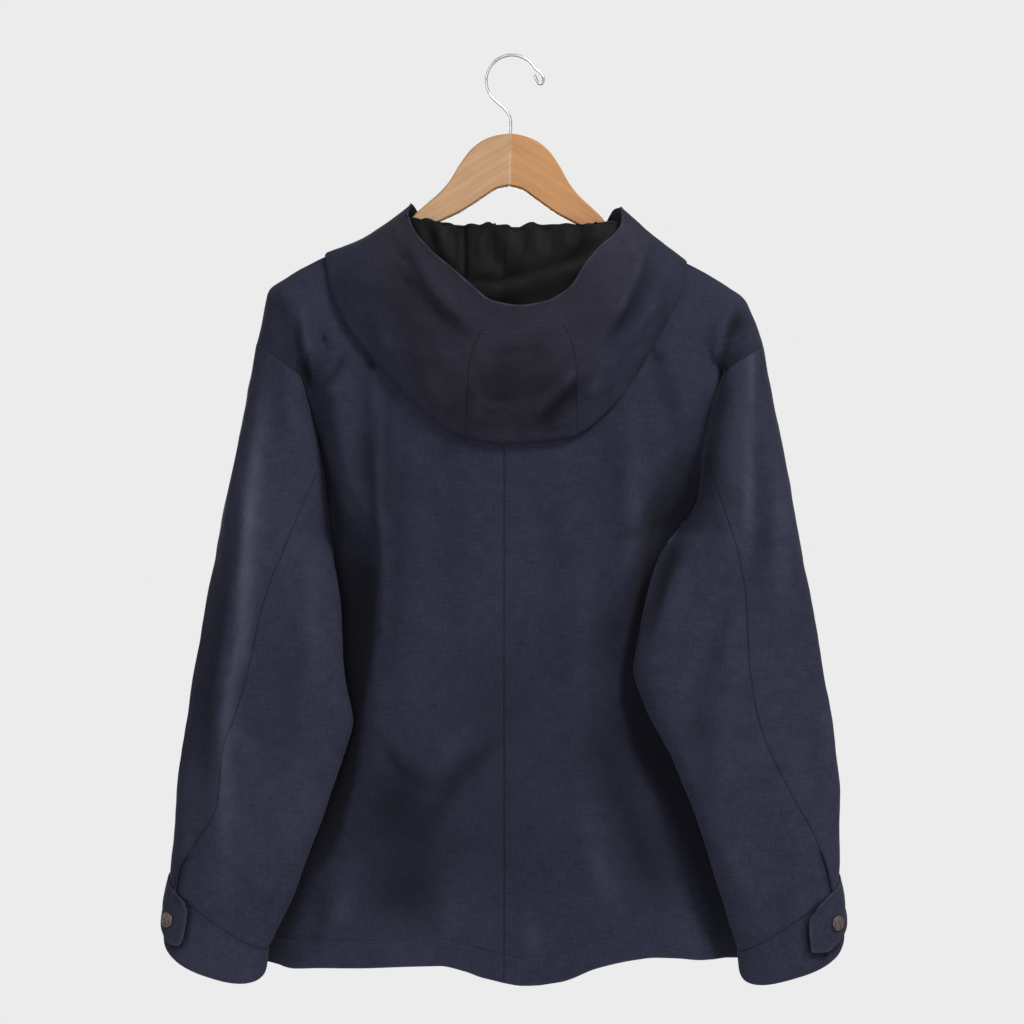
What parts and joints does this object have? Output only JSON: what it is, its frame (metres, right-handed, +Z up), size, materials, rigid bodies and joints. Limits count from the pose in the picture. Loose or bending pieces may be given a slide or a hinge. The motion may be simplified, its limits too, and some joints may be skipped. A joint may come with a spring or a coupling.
{
  "type": "mountain parka on wooden hanger",
  "caption": "Hooded navy mountain parka hanging on a wooden hanger by its steel hook, hood down, two-piece sleeves with snapped cuff tabs.",
  "frame": {"origin": "inside of the hanger hook's crown, where the hook hangs on its rail or nail", "axes": "+Z up, +X to the wearer's left, +Y out of the garment's back"},
  "size_m": [0.6815, 0.1609, 0.9276],
  "materials": {
    "body_cloth": "matt navy cotton and nylon twill",
    "sleeve_cloth": "matt navy cotton and nylon twill, brushed on its edges",
    "hood_cloth": "matt navy cotton and nylon twill",
    "lining_cloth": "thin black lining cloth",
    "snap_bronze": "aged bronze",
    "hanger_wood": "clear satin lacquer",
    "hook_steel": "plain drawn wire"
  },
  "bodies": {
    "root": {"back_left": "body_cloth", "back_right": "body_cloth", "front_left": "body_cloth", "front_right": "body_cloth", "placket": "body_cloth", "sleeve_left_upper": "sleeve_cloth", "sleeve_left_under": "sleeve_cloth", "sleeve_right_upper": "sleeve_cloth", "sleeve_right_under": "sleeve_cloth", "cuff_left": "sleeve_cloth", "cuff_right": "sleeve_cloth", "cuff_tab_left": "sleeve_cloth", "cuff_tab_right": "sleeve_cloth", "hood_shell": "hood_cloth", "hood_insert": "hood_cloth", "hood_lining": "lining_cloth", "placket_snap_1": "snap_bronze", "placket_snap_2": "snap_bronze", "placket_snap_3": "snap_bronze", "placket_snap_4": "snap_bronze", "placket_snap_5": "snap_bronze", "placket_snap_6": "snap_bronze", "cuff_snap_left": "snap_bronze", "cuff_snap_right": "snap_bronze", "hanger_left": "hanger_wood", "hanger_right": "hanger_wood", "hook": "hook_steel"}
  },
  "joints": []
}
